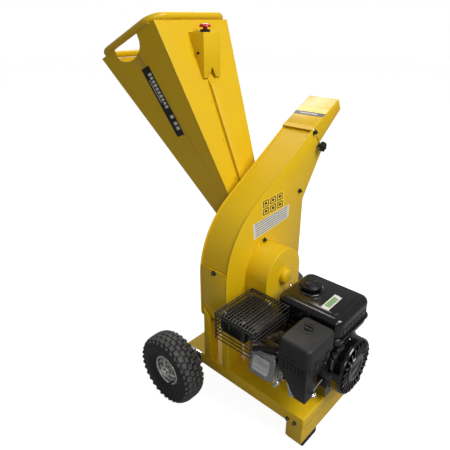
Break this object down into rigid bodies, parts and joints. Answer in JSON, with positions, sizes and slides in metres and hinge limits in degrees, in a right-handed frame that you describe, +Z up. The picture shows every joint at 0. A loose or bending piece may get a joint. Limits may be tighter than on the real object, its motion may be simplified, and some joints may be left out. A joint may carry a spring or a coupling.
{
  "type": "wood chipper",
  "caption": "Petrol disc wood chipper on a two-wheeled tray base, with a tilted feed hopper, scroll housing, swivelling chute deflector and belt-driven engine.",
  "frame": {"origin": "floor level, under the middle of the whole object's box", "axes": "+Z up; +X towards the engine's starter end, so -X is the feed hopper; +Y is the side the chute throws towards"},
  "size_m": [1.12, 0.774, 1.2683],
  "materials": {
    "yellow_paint": "gloss yellow powder coat",
    "black_rubber": "matt moulded rubber",
    "tyre_rubber": "matt moulded tyre rubber",
    "zinc_plate": "bright zinc plate",
    "bare_steel": "machined steel",
    "cast_iron": "as cast with machined faces",
    "cast_aluminium": "as cast, shot blasted",
    "black_enamel": "gloss black enamel",
    "black_plastic": "fine-grained moulded plastic",
    "red_plastic": "gloss moulded plastic"
  },
  "bodies": {
    "machine": {"air_cleaner_body": "black_plastic", "air_cleaner_cover": "black_plastic", "base_tray": "yellow_paint", "bearing_housing": "cast_iron", "bed_knife": "bare_steel", "belt_guard": "yellow_paint", "cable_cover": "yellow_paint", "carburettor": "cast_aluminium", "crankcase": "cast_aluminium", "cylinder": "cast_aluminium", "cylinder_head": "cast_aluminium", "fan_shroud": "black_enamel", "front_leg_frame": "yellow_paint", "front_stand": "yellow_paint", "fuel_tank": "black_enamel", "hinge_bolt_back": "bare_steel", "hinge_bolt_front": "bare_steel", "hopper_hoop": "yellow_paint", "hopper_shell": "yellow_paint", "housing_back_plate": "yellow_paint", "housing_front_plate": "yellow_paint", "housing_rim": "yellow_paint", "muffler": "black_enamel", "muffler_cage": "black_enamel", "rear_leg_frame": "yellow_paint", "recoil_cover": "black_enamel", "rim_hatch": "yellow_paint", "rotor_bearing": "bare_steel", "rubber_foot_far": "black_rubber", "rubber_foot_near": "black_rubber", "stop_base": "black_plastic", "stop_cover": "yellow_paint", "stub_axle_far": "zinc_plate", "stub_axle_near": "zinc_plate", "switch_box": "black_plastic", "v_belt": "black_rubber", "valve_cover": "cast_aluminium"},
    "wheel_near": {"tyre_near": "tyre_rubber", "rim_near": "zinc_plate"},
    "wheel_far": {"tyre_far": "tyre_rubber", "rim_far": "zinc_plate"},
    "rotor": {"rotor_disc": "bare_steel", "rotor_shaft": "bare_steel", "chipper_knife_a": "bare_steel", "chipper_knife_b": "bare_steel", "fan_paddles": "bare_steel", "rotor_pulley": "cast_iron"},
    "crank": {"crankshaft": "bare_steel", "flywheel": "cast_iron", "clutch_pulley": "bare_steel"},
    "deflector": {"deflector": "yellow_paint"},
    "lock_knob": {"lock_knob": "black_plastic"},
    "stop_button": {"stop_button": "red_plastic"},
    "starter_grip": {"starter_grip": "black_plastic"},
    "fuel_cap": {"fuel_cap": "black_plastic"},
    "throttle_lever": {"throttle_lever": "bare_steel"},
    "choke_lever": {"choke_lever": "bare_steel"},
    "fuel_lever": {"fuel_lever": "bare_steel"},
    "stop_switch": {"stop_switch": "red_plastic"},
    "oil_plug": {"oil_plug": "black_plastic"}
  },
  "joints": [
    {"name": "wheel_near_spin", "type": "hinge", "parent": "machine", "child": "wheel_near", "pos_m": [0.02597, -0.34443, 0.128], "axis": [0, 1, 0], "continuous": true},
    {"name": "wheel_far_spin", "type": "hinge", "parent": "machine", "child": "wheel_far", "pos_m": [0.02597, 0.30357, 0.128], "axis": [0, 1, 0], "continuous": true},
    {"name": "rotor_spin", "type": "hinge", "parent": "machine", "child": "rotor", "pos_m": [0.08797, -0.03843, 0.4655], "axis": [1, 0, 0], "continuous": true},
    {"name": "crank_spin", "type": "hinge", "parent": "machine", "child": "crank", "pos_m": [0.22797, -0.03843, 0.246], "axis": [1, 0, 0], "continuous": true},
    {"name": "deflector_tilt", "type": "hinge", "parent": "machine", "child": "deflector", "pos_m": [0.11597, 0.22257, 0.889], "axis": [1, 0, 0], "range_deg": [-35, 10]},
    {"name": "lock_knob_turn", "type": "hinge", "parent": "machine", "child": "lock_knob", "pos_m": [0.17877, 0.25657, 0.834], "axis": [1, 0, 0], "range_deg": [0, 180]},
    {"name": "stop_button_press", "type": "slide", "parent": "machine", "child": "stop_button", "axis": [0, 0, -1], "range_m": [0, 0.005], "stiffness_N_per_m": 600, "springref_m": -0.004},
    {"name": "starter_grip_pull", "type": "slide", "parent": "machine", "child": "starter_grip", "axis": [1, 0, 0], "range_m": [0, 0.45], "stiffness_N_per_m": 12, "springref_m": -0.25},
    {"name": "fuel_cap_turn", "type": "hinge", "parent": "machine", "child": "fuel_cap", "pos_m": [0.37297, -0.04243, 0.4554], "axis": [0, 0, 1], "range_deg": [0, 90]},
    {"name": "throttle_turn", "type": "hinge", "parent": "machine", "child": "throttle_lever", "pos_m": [0.52997, -0.15043, 0.304], "axis": [1, 0, 0], "range_deg": [0, 30]},
    {"name": "choke_turn", "type": "hinge", "parent": "machine", "child": "choke_lever", "pos_m": [0.48447, -0.19443, 0.314], "axis": [1, 0, 0], "range_deg": [-40, 0]},
    {"name": "fuel_lever_turn", "type": "hinge", "parent": "machine", "child": "fuel_lever", "pos_m": [0.48447, -0.19443, 0.296], "axis": [1, 0, 0], "range_deg": [0, 40]},
    {"name": "stop_switch_turn", "type": "hinge", "parent": "machine", "child": "stop_switch", "pos_m": [0.54197, -0.18243, 0.281], "axis": [1, 0, 0], "range_deg": [0, 60]},
    {"name": "oil_plug_turn", "type": "hinge", "parent": "machine", "child": "oil_plug", "pos_m": [0.39797, -0.11243, 0.188], "axis": [0, 1, 0], "range_deg": [0, 180]}
  ],
  "couplings": [
    {"joint": "crank_spin", "follows": "rotor_spin", "ratio": 0.9}
  ]
}
